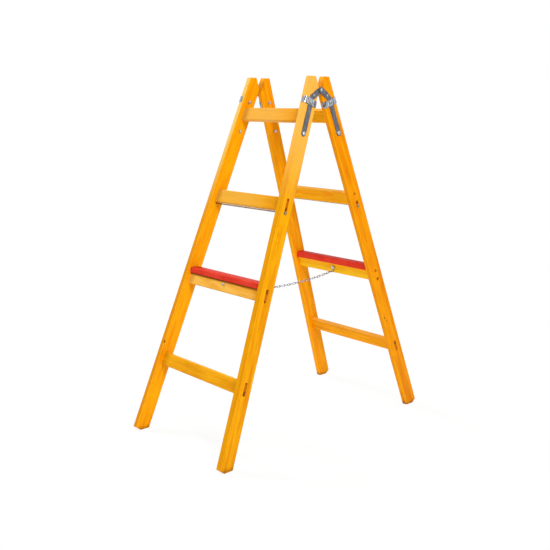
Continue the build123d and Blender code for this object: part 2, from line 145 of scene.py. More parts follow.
# %% Set up the camera
FRAME_PIXELS = 550
FOCAL_PIXELS = 795.0
MIDDLE_PIXEL = (273.3, 274.4)  # the pixel that the lens points at
SENSOR = 36.0
CAMERA_PLACE = (1.8786, -1.8029, 1.0282)
CAMERA_RIGHT = Vector((0.68053, 0.73260, 0.01320))
CAMERA_UP = Vector((-0.15553, 0.12682, 0.97966))
CAMERA_BACK = Vector((0.71603, -0.66874, 0.20024))


def standing(spot, right, up, back):
    """The placement at a spot with X, Y and Z along three directions."""
    return Matrix.Translation(spot) @ Matrix((right, up, back)).transposed().to_4x4()


bpy.ops.object.camera_add()
camera = bpy.context.object
camera.matrix_world = standing(CAMERA_PLACE, CAMERA_RIGHT, CAMERA_UP, CAMERA_BACK)
camera.data.sensor_width = SENSOR
camera.data.lens = SENSOR * FOCAL_PIXELS / FRAME_PIXELS
camera.data.shift_x = 0.5 - MIDDLE_PIXEL[0] / FRAME_PIXELS
camera.data.shift_y = MIDDLE_PIXEL[1] / FRAME_PIXELS - 0.5
bpy.context.scene.camera = camera
print(f"camera {camera.location.length:.2f} m from the origin, {camera.data.lens:.1f} mm lens")

# %% [markdown]
# ## Nodes and colours
# A material is a small graph. One function adds a node, sets what is fixed on it and links what comes from
# other nodes. Colours are written as on a paint card, in sRGB hex, and one function turns them to the
# linear values that a shader reckons with. Its numbers are those of the sRGB standard.


# %% Helpers for materials
def linear(hex_colour):
    """An sRGB colour such as 'ff8800' as linear red, green, blue and a full alpha."""
    shares = [int(hex_colour[i : i + 2], 16) / 255 for i in (0, 2, 4)]
    return tuple(s / 12.92 if s <= 0.04045 else ((s + 0.055) / 1.055) ** 2.4 for s in shares) + (1.0,)


def node(tree, kind, inputs=None, **settings):
    """Add a node, set its options, and set or link each named or numbered input.
    A node that is given for an input is linked by its first output that is in use."""
    made = tree.nodes.new(kind)
    for option, value in settings.items():
        setattr(made, option, value)
    for socket, value in (inputs or {}).items():
        if isinstance(value, bpy.types.Node):
            value = next(output for output in value.outputs if output.enabled)
        if isinstance(value, bpy.types.NodeSocket):
            tree.links.new(value, made.inputs[socket])
        else:
            made.inputs[socket].default_value = value
    return made


def new_material(name):
    """An empty material and its tree."""
    material = bpy.data.materials.new(name)
    material.use_nodes = True
    material.node_tree.nodes.clear()
    return material, material.node_tree


print("an orange in linear light:", [round(c, 3) for c in linear("f9a008")])

# %% [markdown]
# ## Lacquered pine
# Pine boards show their growth rings: pale early wood and darker late wood, a few millimetres apart. On a
# broad face cut along the ring they open into long pointed arches, and on an end they are arcs. A flat
# pattern would have to be fitted to each face. A solid one gives all of that at once: rings about a pith
# line beside the board, a little wavy, so every face shows its own cut of the same log. Long soft blotches
# lie over the rings, because the wood takes up the lacquer unevenly. A knot pushes the rings aside. The
# rings are drawn 6 mm apart, twice as coarse as in nature, because finer ones vanish at this picture's
# size.

# %% Noises drawn out along a board
DRAWN = {  # their width, their length and how finely they break up
    "wander": (45.0 * MM, 420.0 * MM, 2.0),
    "fibres": (2.2 * MM, 120.0 * MM, 4.0),
    "blotches": (15.0 * MM, 110.0 * MM, 2.0),
}
DRAWN_ROUGHNESS = 0.6


def drawn_noises(tree, board):
    """The noises of a board, by name."""
    made = {}
    for name, (width, length, detail) in DRAWN.items():
        scaled = {"Vector": board, "Scale": (1 / width, 1 / width, 1 / length)}
        scaled = node(tree, "ShaderNodeMapping", scaled)
        noise = {"Vector": scaled, "Scale": 1.0, "Detail": detail, "Roughness": DRAWN_ROUGHNESS}
        made[name] = node(tree, "ShaderNodeTexNoise", noise)
    return made


print("noises along a board:", ", ".join(DRAWN))

# %% [markdown]
# How the surface lies to the board tells its broad faces from the narrow ones, the rounded edges and the
# cut ends. Each of these can have a colour of its own, laid over the plain board as a painter lays a
# glaze. A layer is what is measured, from where to where, the colour's shares there, and the colour.

# %% Layers of colour
SQUARE = (0.7, 0.92)  # between these, a surface comes to count as facing a way
FULL_TO = 0.3  # the part of its reach over which a patch or the painted lip shadow has its full share
PATCH_SHARE = 0.7
NARROW_ONLY = 1000.0 * MM  # keeps a patch to the narrow faces
# A painted shadow: the dark line that a tread cover's outer lip casts on its rung.
LIP_SHADOW = "6e3000"
LIP_SHADOW_SHARE = 0.85
LIP_SHADOW_SIDE = 100.0 * MM  # keeps the painted lip shadow to one face of a board


def turned(tree, normal, ways):
    """How far the surface turns to each way, how far to that or its opposite, and the most of these."""
    facing, lie = [], []
    for way in ways:
        facing.append(node(tree, "ShaderNodeVectorMath", {0: normal, 1: way}, operation="DOT_PRODUCT"))
        lie.append(node(tree, "ShaderNodeMath", {0: facing[-1]}, operation="ABSOLUTE"))
    flattest = lie[0]
    for other in lie[1:]:
        flattest = node(tree, "ShaderNodeMath", {0: flattest, 1: other}, operation="MAXIMUM")
    return facing, lie, flattest


def face_layer(lie, colour):
    """Another colour, with its share, on the faces that lie one way."""
    shade, share = colour
    return lie, *SQUARE, 0.0, share, shade


def patch_layer(tree, here, patch, lie=None):
    """Another colour round a place, up to a reach. With a lie, only on the faces that lie that way."""
    middle, reach, shade = patch
    away = node(tree, "ShaderNodeVectorMath", {0: here, 1: middle}, operation="DISTANCE")
    if lie is None:
        return away, FULL_TO * reach, reach, PATCH_SHARE, 0.0, shade
    away = node(tree, "ShaderNodeMath", {0: lie, 1: -NARROW_ONLY, 2: away}, operation="MULTIPLY_ADD")
    return away, FULL_TO * reach - NARROW_ONLY, reach - NARROW_ONLY, PATCH_SHARE, 0.0, shade


def lip_shadow_layer(tree, here, facing, lip_shadow):
    """Painted shadow that reaches down from a line, on the face that faces one way."""
    line, down, reach = lip_shadow
    off = node(tree, "ShaderNodeVectorMath", {0: here, 1: line}, operation="SUBTRACT")
    below = node(tree, "ShaderNodeVectorMath", {0: off, 1: down}, operation="DOT_PRODUCT")
    below = node(tree, "ShaderNodeMath", {0: facing, 1: -LIP_SHADOW_SIDE, 2: below}, operation="MULTIPLY_ADD")
    return below, FULL_TO * reach - LIP_SHADOW_SIDE, reach - LIP_SHADOW_SIDE, LIP_SHADOW_SHARE, 0.0, LIP_SHADOW


print(f"a face counts as facing a way within {math.degrees(math.acos(SQUARE[1])):.0f} degrees")

# %% Painted shade at tenon tips, and scuffed feet
TENON_CORE = 9.0 * MM  # the middle of a tenon's end, up and down, which stays clean
TENON_TIP = 13.5 * MM  # from here on, the end is all dark
SCUFF = "8f560c"
SCUFF_SHARE = 0.7
SCUFF_HEIGHT = 16.0 * MM
SCUFF_FADE = 9.6 * MM  # half the height over which it fades out


def tenon_layer(tree, here, side, end_lie, tenon):
    """Painted shade for the gaps above and below the middle of a tenon's cut end."""
    middle, shade, share = tenon
    off = node(tree, "ShaderNodeVectorMath", {0: here, 1: middle}, operation="SUBTRACT")
    rise = node(tree, "ShaderNodeVectorMath", {0: off, 1: side}, operation="DOT_PRODUCT")
    rise = node(tree, "ShaderNodeMath", {0: rise}, operation="ABSOLUTE")
    tip = node(tree, "ShaderNodeMapRange", {"Value": rise, "From Min": TENON_CORE, "From Max": TENON_TIP})
    tip = node(tree, "ShaderNodeMath", {0: tip, 1: end_lie}, operation="MULTIPLY")
    return tip, 0.0, SQUARE[1], 0.0, share, shade


def scuff_layer(tree, here, blotches):
    """Brown wear with a ragged upper edge, at the floor."""
    height = node(tree, "ShaderNodeSeparateXYZ", {0: here}).outputs["Z"]
    ragged = {0: blotches, 1: -SCUFF_HEIGHT, 2: height}
    ragged = node(tree, "ShaderNodeMath", ragged, operation="MULTIPLY_ADD")
    return ragged, -SCUFF_FADE, SCUFF_FADE, SCUFF_SHARE, 0.0, SCUFF


print(f"feet scuffed up to about {SCUFF_HEIGHT / MM:.0f} mm")

# %% Rings and knots
RING_SPACING = 6.0 * MM
WAVE_TURN = math.pi / 10  # a ring pattern of scale 1 repeats after this length
LATE_WOOD = (0.25, 0.95)  # across a ring, from here to here, the wood darkens
WANDER_REACH = 9.0 * MM
KNOT_HEART = "7a3606"
KNOT_SHARE = 0.9
KNOT_RIM = (0.55, 1.15)  # in the knot's radii, from here to here its heart fades out
KNOT_NARROWING = 0.45  # lengths along the grain count this much, so that a knot is a long oval
KNOT_PUSH = 10.0 * MM
PUSH_REACH = (0.6, 4.5)  # in the knot's radii, from here to here the push fades out


def late_rings(tree, board, wander, knots):
    """The late wood of rings that wander with the trunk, and a layer for the heart of each knot in them."""
    hearts = []
    waves = node(tree, "ShaderNodeVectorMath", {0: wander, 1: (0.5, 0.5, 0.5)}, operation="SUBTRACT")
    bent = {0: waves, 1: (WANDER_REACH, WANDER_REACH, 0), 2: board}
    bent = node(tree, "ShaderNodeVectorMath", bent, operation="MULTIPLY_ADD")
    for middle, radius in knots:
        away = node(tree, "ShaderNodeVectorMath", {0: board, 1: middle}, operation="SUBTRACT")
        oval = {0: away, 1: (1 / radius, 1 / radius, KNOT_NARROWING / radius)}
        oval = node(tree, "ShaderNodeVectorMath", oval, operation="MULTIPLY")
        reach = node(tree, "ShaderNodeVectorMath", {0: oval}, operation="LENGTH")
        push = {"From Min": PUSH_REACH[0], "From Max": PUSH_REACH[1], "To Min": KNOT_PUSH, "To Max": 0.0}
        push = node(tree, "ShaderNodeMapRange", {"Value": reach, **push}, interpolation_type="SMOOTHSTEP")
        aside = node(tree, "ShaderNodeCombineXYZ", {"X": push})
        bent = node(tree, "ShaderNodeVectorMath", {0: bent, 1: aside}, operation="ADD")
        hearts.append((reach, *KNOT_RIM, KNOT_SHARE, 0.0, KNOT_HEART))
    rings = node(
        tree,
        "ShaderNodeTexWave",
        {"Vector": bent, "Scale": WAVE_TURN / RING_SPACING, "Distortion": 0.0},
        wave_type="RINGS", rings_direction="Z", wave_profile="SAW",
    ).outputs["Fac"]
    late_wood = {"Value": rings, "From Min": LATE_WOOD[0], "From Max": LATE_WOOD[1]}
    return node(tree, "ShaderNodeMapRange", late_wood, interpolation_type="SMOOTHSTEP"), hearts


print(f"rings {RING_SPACING / MM:.0f} mm apart")

# %% Lacquered pine
ROUNDED = (0.8, 0.98)  # between these, a rounded edge goes over to a flat face
TONE_SHARES = (0.36, 1.1, 1.9)  # what late wood, fibres and blotches add to the darker tone
TONE_START = -1.17  # their sum starts here, and the tone goes from early to late as it goes from 0 to 1
LACQUER_ROUGHNESS = (0.34, 0.52)
LACQUER_GLOSS = 0.05
GRAIN_STRENGTH = 0.25
GRAIN_RELIEF = 0.15 * MM


def lacquered_pine(
    name, along, broad, pith, early, late, cut_end, edge,
    narrow=None, patch=None, narrow_patch=None, knots=(), tenon=None, lip_shadow=None, scuffed=False,
):
    """Pine sawn along a direction, its broad face square to another, with its pith line through a point.
    The cut ends, the edges and the narrow faces have colours of their own, each with its share; on some
    boards the edges' colour is a painted highlight, and on two rear rungs the narrow faces' colour is
    painted light. Patch is a place, a reach and a colour round it: a painted sheen on some boards, painted
    shade on others. Narrow patch is the same on the narrow faces only. Knots are places with their radii.
    Tenon is the middle of a tenoned board, and the colour and share of the painted shade for the gaps at
    its tenons' tips. Lip shadow is a point on the broad face, a direction and a reach of a painted shadow."""
    material, tree = new_material(name)
    side = along.cross(broad)
    turn = Matrix((broad, side, along))
    spot = node(tree, "ShaderNodeTexCoord")
    here, normal = spot.outputs["Object"], spot.outputs["Normal"]
    board = {"Vector": here, "Rotation": turn.to_euler(), "Location": -(turn @ pith)}
    board = node(tree, "ShaderNodeMapping", board)
    drawn = drawn_noises(tree, board)
    fibres, blotches = drawn["fibres"], drawn["blotches"]
    facing, lie, flattest = turned(tree, normal, (broad, side, along))
    in_board = [(turn @ (middle - pith), radius) for middle, radius in knots]
    late_wood, hearts = late_rings(tree, board, drawn["wander"].outputs["Color"], in_board)

    layers = []
    if narrow is not None:
        layers.append(face_layer(lie[1], narrow))
    if lip_shadow is not None:
        layers.append(lip_shadow_layer(tree, here, facing[0], lip_shadow))
    if narrow_patch is not None:
        layers.append(patch_layer(tree, here, narrow_patch, lie[1]))
    layers.append((flattest, *ROUNDED, edge[1], 0.0, edge[0]))
    if patch is not None:
        layers.append(patch_layer(tree, here, patch))
    layers.append(face_layer(lie[2], cut_end))
    if tenon is not None:
        layers.append(tenon_layer(tree, here, side, lie[2], tenon))
    layers += hearts
    if scuffed:
        layers.append(scuff_layer(tree, here, blotches))

    depth = TONE_START
    for part, share in zip((late_wood, fibres, blotches), TONE_SHARES):
        depth = node(tree, "ShaderNodeMath", {0: part, 1: share, 2: depth}, operation="MULTIPLY_ADD")
    depth.use_clamp = True
    colour = node(tree, "ShaderNodeMix", {0: depth, 6: linear(early), 7: linear(late)}, data_type="RGBA")
    for measured, start, stop, first_share, last_share, shade in layers:
        span = {"From Min": start, "From Max": stop, "To Min": first_share, "To Max": last_share}
        span["Value"] = measured
        share = node(tree, "ShaderNodeMapRange", span, interpolation_type="SMOOTHSTEP")
        colour = node(tree, "ShaderNodeMix", {0: share, 6: colour, 7: linear(shade)}, data_type="RGBA")

    gloss = {"Value": fibres, "To Min": LACQUER_ROUGHNESS[0], "To Max": LACQUER_ROUGHNESS[1]}
    gloss = node(tree, "ShaderNodeMapRange", gloss)
    relief = node(tree, "ShaderNodeMath", {0: late_wood, 1: fibres}, operation="ADD")
    bump = {"Height": relief, "Strength": GRAIN_STRENGTH, "Distance": GRAIN_RELIEF}
    bump = node(tree, "ShaderNodeBump", bump)
    lacquer = {"Base Color": colour, "Roughness": gloss, "Normal": bump}
    lacquer["Specular IOR Level"] = LACQUER_GLOSS
    node(tree, "ShaderNodeOutputMaterial", {"Surface": node(tree, "ShaderNodeBsdfPrincipled", lacquer)})
    return material


print(f"lacquer with roughness {LACQUER_ROUGHNESS[0]} to {LACQUER_ROUGHNESS[1]}")

# %% [markdown]
# ## Stiles
# Each stile is a board of its own, with its own rings and its own tone of lacquer. One pine for all four
# would look printed. The broad face is the outer one, so the pith line lies well behind it, a little
# oblique, and the arches open along the board. The photograph shows where the knots are, which edges are
# darker and which have a golden or a pale painted highlight, the painted sheen at the front right top, the
# paler narrow faces at the front left top, the painted shade on the bevels of the rear tops, where the
# front stiles shade them, and feet that are scuffed brown.

# %% Each stile's own marks
STILE_END = ("b9741a", 0.45)
# Painted highlights along the rounded edges: pale on the front left stile, golden on the rear ones.
PALE_EDGE_HIGHLIGHT = ("ffc63c", 0.6)
GOLD_EDGE_HIGHLIGHT = ("f6b606", 0.6)
DARK_EDGE = ("c87c06", 0.7)
STILE_MIDDLE = 28.2 * MM  # out of the frame from the pins, and half the ladder's width there
STILE_HALF_WIDTH = 146.5 * MM
NOSE_SHADE_SPOT = (-0.020, 0.002, 0.009)  # where painted shade sits, off the bevel at a rear top: drop, depth and inward
NOSE_SHADE_REACH = 34.0 * MM


def on_stile(end, side, drop, depth, inward=0.0):
    """A point on a stile's outer face, or under it: down from the hinge pins, and out of the frame."""
    spread = STILE_HALF_WIDTH + math.tan(FLARE) * drop
    face_point = HINGE + ACROSS * (SIDES[side] * spread) + slope_down(end) * drop + face_out(end) * depth
    return face_point - stile_out(end, side) * inward


stiles = {
    ("front", "right"): {
        "early": "f8ae06",
        "late": "e08a00",
        "edge": DARK_EDGE,
        "narrow": ("d69201", 0.6),
        # A painted sheen at the top of the outer face.
        "patch": (on_stile("front", "right", 0.04, 0.03), 0.36, "fcbc56"),
        "knots": [(on_stile("front", "right", 0.466, 0.034, -0.004), 4.0 * MM)],
    },
    ("front", "left"): {
        "early": "feac04",
        "late": "eb8d00",
        "edge": PALE_EDGE_HIGHLIGHT,
        "narrow": ("ca8208", 0.6),
        # Paler narrow faces near the top.
        "narrow_patch": (on_stile("front", "left", -0.03, 0.054, 0.009), 0.52, "ebcf7a"),
        "knots": [(on_stile("front", "left", 0.878, 0.0535, 0.017), 2.8 * MM)],
    },
    ("rear", "right"): {
        "early": "fca202",
        "late": "e07d00",
        "edge": GOLD_EDGE_HIGHLIGHT,
        "narrow": ("ec9c02", 0.5),
        # Painted shade on the bevel at the top, where the front stile shades it.
        "patch": (on_stile("rear", "right", *NOSE_SHADE_SPOT), NOSE_SHADE_REACH, "c87000"),
        "knots": [
            (on_stile("rear", "right", 0.812, 0.010), 2.4 * MM),
            (on_stile("rear", "right", 0.826, 0.017), 1.8 * MM),
        ],
    },
    ("rear", "left"): {
        "early": "ffa902",
        "late": "e58400",
        "edge": GOLD_EDGE_HIGHLIGHT,
        "narrow": ("f9ae0f", 0.6),
        # Painted shade on the bevel at the top, where the front stile shades it.
        "patch": (on_stile("rear", "left", *NOSE_SHADE_SPOT), NOSE_SHADE_REACH, "a85800"),
        "knots": [(on_stile("rear", "left", 0.540, 0.042), 3.4 * MM)],
    },
}
print("knots on the stiles:", sum(len(marks["knots"]) for marks in stiles.values()))

# %% Dress the stiles
GRAIN_TILT = 0.012  # how much further askew the grain runs from one stile to the next
PITH_BEHIND = 60.0 * MM
PITH_DROP = 0.35
PITH_STEP = 0.2  # how much further down the next stile's pith point is
PITH_SHIFTS = (-4.8 * MM, 7.2 * MM)  # out of the frame, by turns


def dress(name, material):
    """Give a CAD node its surface."""
    nodes[name].data.materials.clear()
    nodes[name].data.materials.append(material)


for number, ((end, side), marks) in enumerate(stiles.items()):
    tilt = (number - (len(stiles) - 1) / 2) * GRAIN_TILT
    grain = (stile_down(end, side) + face_out(end) * tilt).normalized()
    broad = stile_out(end, side)
    broad = (broad - grain * broad.dot(grain)).normalized()
    depth = STILE_MIDDLE + PITH_SHIFTS[number % 2]
    pith = on_stile(end, side, PITH_DROP + PITH_STEP * number, depth, PITH_BEHIND)
    name = f"{end}_{side}_stile"
    pine = lacquered_pine(f"pine_{name}", grain, broad, pith, cut_end=STILE_END, scuffed=True, **marks)
    dress(name, pine)
print("stiles dressed in", len(stiles), "boards of pine")

# %% [markdown]
# ## Rungs
# The grain of the rungs runs across the ladder, and each rung has its own tone. The same pine serves,
# turned across. The front rungs are paler than the stiles, and two of them have a painted sheen, mostly
# towards the left. The rear ones are like the stiles, two of them with painted light on their upper faces,
# which also makes their lower faces pale. The tenons come through the stiles. The cut ends that show there
# are brown, because they drink the lacquer, and darkest at the tips, where painted shade stands for the
# gaps that the round mortise leaves. On the third rung, a painted shadow lies in a dark line under the
# cover's outer lip.

# %% Each rung's own colours
RUNG_COLOURS = {
    "front": [("e99e16", "cd7d06"), ("eaa114", "cc7e04"), ("f6bc51", "dc9220"), ("f3ac14", "d68902")],
    "rear": [("f4b60c", "da9402"), ("ffbc05", "f69800"), ("ffce18", "fcac04"), ("fcaa05", "e48a00")],
}
RUNG_ENDS = {"front": ("bc5e00", 0.9), "rear": ("e8860a", 0.6)}
# painted shade for the gaps where the round mortises are not quite filled
TENON_GAP_SHADE = {"front": ("823a00", 0.85), "rear": ("7c2c00", 0.9)}
BROWN_TENON = ("rear", 4)  # this one shows as brown as those in front
# Darker edges on the front rungs, and a painted highlight along the edges of the rear rungs.
RUNG_EDGES = {"front": ("d99a2c", 0.5), "rear": ("ffca58", 0.4)}
# Painted light on the upper faces of two rear rungs; the same layer also makes their lower faces pale.
PAINTED_LIGHT_TOPS = {("rear", 2): ("ffc450", 0.7), ("rear", 4): ("ffb850", 0.7)}
# A painted sheen on the fronts of two front rungs.
PAINTED_RUNG_SHEEN = {("front", 1): "ebb048", ("front", 2): "eaaf40"}
SHEEN_LEFT = 0.07  # how far left of a rung's middle its painted sheen is strongest, and how far that reaches
SHEEN_REACH = 0.2
print("rungs:", [len(tones) for tones in RUNG_COLOURS.values()])

# %% Dress the rungs
RUNG_PITCH = 280.0 * MM
FIRST_RUNG = 93.0 * MM
COVERED_RUNG = 3
LIP_ABOVE_MIDDLE = 15.9 * MM
LIP_SHADOW_REACH = 9.7 * MM
SWAY_STEP = 2.4  # in radians, from one rung to the next, so that no two boards are cut alike
GRAIN_SWAY = 0.03
RUNG_PITH = 0.045  # behind the rung, and a step further for each
RUNG_PITH_STEP = 0.006
PITH_SWAY = 0.012


def rung_place(end, number):
    """How far down the slope a rung is, and its middle."""
    drop = FIRST_RUNG + (number - 1) * RUNG_PITCH
    return drop, HINGE + slope_down(end) * drop + face_out(end) * STILE_MIDDLE


for end in ENDS:
    for number, (early, late) in enumerate(RUNG_COLOURS[end], 1):
        drop, middle = rung_place(end, number)
        sway = math.sin(SWAY_STEP * number + ENDS[end])
        grain = (ACROSS + slope_down(end) * (GRAIN_SWAY * sway)).normalized()
        broad = face_out(end)
        pith = middle - broad * (RUNG_PITH + RUNG_PITH_STEP * number) + slope_down(end) * (PITH_SWAY * sway)
        sheen = PAINTED_RUNG_SHEEN.get((end, number))
        stain = "front" if (end, number) == BROWN_TENON else end
        # the painted shadow under the cover's outer lip, used on the third rung
        lip_shadow_line = (middle - slope_down(end) * LIP_ABOVE_MIDDLE, slope_down(end), LIP_SHADOW_REACH)
        board = lacquered_pine(
            f"pine_{end}_rung_{number}", grain, broad, pith, early, late, RUNG_ENDS[stain], RUNG_EDGES[end],
            narrow=PAINTED_LIGHT_TOPS.get((end, number)),
            patch=sheen and (middle - ACROSS * SHEEN_LEFT, SHEEN_REACH, sheen),
            tenon=(middle, *TENON_GAP_SHADE[stain]),
            lip_shadow=lip_shadow_line if number == COVERED_RUNG else None,
        )
        dress(f"{end}_rung_{number}", board)
print(f"rungs dressed, {RUNG_PITCH / MM:.0f} mm apart")

# %% [markdown]
# ## Moulded red plastic
# The tread covers are moulded in one colour. Such plastic has a soft, slightly uneven gloss and a very fine
# grain from the mould. One flat red would look like paint on paper. The grain here is 1.5 mm, coarser than
# life, so that it still breaks up the highlight. On the level tops the red is darker, a painted shade.

# %% Red plastic
MOULD_GRAIN = 1.5 * MM
CLOUD = 60.0 * MM
CLOUD_SPAN = (0.3, 0.7)  # the noise between these goes from one red to the other
COVER_REDS = ("d82f20", "e6412d")
# Painted shade on the level tops of the covers.
SHADED_TOP_RED = "bc2c1c"
LEVEL_SPAN = (0.7, 0.95)  # between these, a surface comes to count as level
PLASTIC_ROUGHNESS = (0.36, 0.5)
PLASTIC_GLOSS = 0.05
MOULD_STRENGTH = 0.2
MOULD_RELIEF = 0.1 * MM

red_plastic, tree = new_material("moulded_red_plastic")
spot = node(tree, "ShaderNodeTexCoord")
here, normal = spot.outputs["Object"], spot.outputs["Normal"]
grain = node(tree, "ShaderNodeTexNoise", {"Vector": here, "Scale": 1 / MOULD_GRAIN, "Detail": 2.0})
cloud = node(tree, "ShaderNodeTexNoise", {"Vector": here, "Scale": 1 / CLOUD, "Detail": 1.0})
tone = {"Value": cloud, "From Min": CLOUD_SPAN[0], "From Max": CLOUD_SPAN[1]}
tone = node(tree, "ShaderNodeMapRange", tone)
reds = {6: linear(COVER_REDS[0]), 7: linear(COVER_REDS[1])}
colour = node(tree, "ShaderNodeMix", {0: tone, **reds}, data_type="RGBA")
upward = node(tree, "ShaderNodeSeparateXYZ", {0: normal}).outputs["Z"]
top_shade = {"Value": upward, "From Min": LEVEL_SPAN[0], "From Max": LEVEL_SPAN[1]}
top_shade = node(tree, "ShaderNodeMapRange", top_shade)
colour = node(tree, "ShaderNodeMix", {0: top_shade, 6: colour, 7: linear(SHADED_TOP_RED)}, data_type="RGBA")
gloss = {"Value": grain, "To Min": PLASTIC_ROUGHNESS[0], "To Max": PLASTIC_ROUGHNESS[1]}
gloss = node(tree, "ShaderNodeMapRange", gloss)
bump = {"Height": grain, "Strength": MOULD_STRENGTH, "Distance": MOULD_RELIEF}
bump = node(tree, "ShaderNodeBump", bump)
plastic = {"Base Color": colour, "Roughness": gloss, "Normal": bump, "Specular IOR Level": PLASTIC_GLOSS}
node(tree, "ShaderNodeOutputMaterial", {"Surface": node(tree, "ShaderNodeBsdfPrincipled", plastic)})
print("covers will be", red_plastic.name)

# %% [markdown]
# ## Metals
# The hinge leaves are stamped from dark, dull steel with a faint mottle and rolling streaks. All other
# metal is zinc plate: bright on nuts, strap bolts and chain bolts, worn on the hinge pins and on the bolts
# and screws near them, dull in patches on the chain, and dull and brownish all over on the tie rods. On the
# bands the tint goes in streaks from near black to bright: patchy plate, and partly a painted reflection of
# light and dark streaks. A metal has no diffuse colour: its tint is its reflection, so all are fully
# metallic, and one function with another tint, roughness and mottle makes each.

# %% Steel and zinc
MOTTLE_SPAN = (0.35, 0.65)  # the noise between these goes from the dark tint to the bright one
MOTTLE_ROUGHNESS = 0.6
PLATE_STRENGTH = 0.15
PLATE_RELIEF = 0.1 * MM


def plated_metal(name, dark, bright, smooth, rough, mottle, streak):
    """Bare or plated metal from a dark and rough to a bright and smooth finish, in a mottle that rolling
    has drawn out along Z."""
    material, tree = new_material(name)
    spot = node(tree, "ShaderNodeTexCoord").outputs["Object"]
    rolled = {"Vector": spot, "Scale": (1 / mottle, 1 / mottle, 1 / streak)}
    rolled = node(tree, "ShaderNodeMapping", rolled)
    patches = {"Vector": rolled, "Scale": 1.0, "Detail": 3.0, "Roughness": MOTTLE_ROUGHNESS}
    patches = node(tree, "ShaderNodeTexNoise", patches)
    tone = {"Value": patches, "From Min": MOTTLE_SPAN[0], "From Max": MOTTLE_SPAN[1]}
    tone = node(tree, "ShaderNodeMapRange", tone)
    colour = node(tree, "ShaderNodeMix", {0: tone, 6: linear(dark), 7: linear(bright)}, data_type="RGBA")
    gloss = node(tree, "ShaderNodeMapRange", {"Value": patches, "To Min": rough, "To Max": smooth})
    bump = {"Height": patches, "Strength": PLATE_STRENGTH, "Distance": PLATE_RELIEF}
    bump = node(tree, "ShaderNodeBump", bump)
    metal = {"Base Color": colour, "Roughness": gloss, "Normal": bump, "Metallic": 1.0}
    node(tree, "ShaderNodeOutputMaterial", {"Surface": node(tree, "ShaderNodeBsdfPrincipled", metal)})
    return material


grey_steel = plated_metal("stamped_grey_steel", "5e6068", "7e8088", 0.36, 0.52, 5.0 * MM, 30.0 * MM)
bright_zinc = plated_metal("bright_zinc_plate", "a0a4aa", "dcdfe3", 0.16, 0.34, 4.0 * MM, 9.0 * MM)
# Patchy plate on the bands, its mottle from near black to bright partly a painted reflection of bright and
# dark streaks.
band_zinc_painted_streaks = plated_metal("patchy_zinc_painted_reflections", "30333a", "d0d4da", 0.2, 0.34, 3.5 * MM, 18.0 * MM)
dull_zinc = plated_metal("dull_zinc_plate", "5a4c3c", "bcae98", 0.3, 0.48, 4.0 * MM, 6.0 * MM)
worn_zinc = plated_metal("worn_zinc_plate", "7e8288", "bcc0c4", 0.28, 0.44, 4.0 * MM, 9.0 * MM)
chain_zinc = plated_metal("chain_zinc_plate", "484c56", "c0c4cc", 0.2, 0.36, 7.0 * MM, 7.0 * MM)

for end in ENDS:
    for side in SIDES:
        dress(f"{end}_{side}_hinge_leaf", grey_steel)
        dress(f"{end}_{side}_band", band_zinc_painted_streaks)
print("leaves in", grey_steel.name, "and bands in", band_zinc_painted_streaks.name)

# %% [markdown]
# ## Level tread covers
# The rung leans with its frame, but the cover on it stands level when the ladder is open: a flat top to
# stand on and two upright walls. Its ends are cut askew along the stiles, so a profile drawn out to a
# length would not do. It starts as a bar. The long upper edges are rounded, the outer lip is lifted, the
# ends are cut along the stiles, and a box the size of the rung cuts the groove that the cover sits on the
# rung with.

# %% Bars and cuts
SMOOTH_ANGLE = math.radians(40)
ALONG_X = 0.99  # an edge that runs along X this much is lengthwise


def pick(piece, kind, test):
    """In edit mode, select only the faces, edges or corners that pass a test."""
    bpy.ops.mesh.select_mode(type=kind)
    bpy.ops.mesh.select_all(action="DESELECT")
    shape = bmesh.from_edit_mesh(piece.data)
    for part in {"FACE": shape.faces, "EDGE": shape.edges, "VERT": shape.verts}[kind]:
        part.select_set(test(part))
    bmesh.update_edit_mesh(piece.data)


def pick_rails(piece, test):
    """Select only the edges along X whose middle passes a test."""

    def passes(edge):
        one, other = (vertex.co for vertex in edge.verts)
        return abs((one - other).normalized().x) > ALONG_X and test((one + other) / 2)

    pick(piece, "EDGE", passes)


def bar(size, middle):
    """A square bar, in edit mode."""
    bpy.ops.object.select_all(action="DESELECT")
    bpy.ops.mesh.primitive_cube_add(size=1, location=middle, scale=size)
    bpy.ops.object.transform_apply()
    bpy.ops.object.mode_set(mode="EDIT")
    return bpy.context.object


def finish_piece(piece):
    """Leave edit mode and smooth what is round."""
    bpy.ops.object.mode_set(mode="OBJECT")
    bpy.ops.object.shade_smooth_by_angle(angle=SMOOTH_ANGLE)
    return piece


def cut_from(piece, cutter):
    """Cut the piece that is being edited out of another."""
    bpy.ops.object.mode_set(mode="OBJECT")
    bpy.context.view_layer.objects.active = piece
    cut = piece.modifiers.new("cut", "BOOLEAN")
    cut.object = cutter
    cut.solver = "EXACT"
    bpy.ops.object.modifier_apply(modifier=cut.name)
    bpy.data.objects.remove(cutter)


print(f"edges under {math.degrees(SMOOTH_ANGLE):.0f} degrees will be smooth")


# %% Stand for a solid
def select_only(*pieces):
    """Select pieces and nothing else, the first of them active."""
    bpy.ops.object.select_all(action="DESELECT")
    for piece in pieces:
        piece.select_set(True)
    bpy.context.view_layer.objects.active = pieces[0]


def stand_for(node_name, pieces, material):
    """Join pieces into one that replaces a CAD node, rides on its body and has its finish."""
    select_only(*pieces)
    if len(pieces) > 1:
        bpy.ops.object.join()
    whole = bpy.context.object
    whole.name = f"{node_name}_round"
    whole.data.name = whole.name
    whole.data.materials.clear()
    whole.data.materials.append(material)
    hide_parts(node_name)
    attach(whole, nodes[node_name]["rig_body"])
    return whole


print("a new piece rides where its solid did")

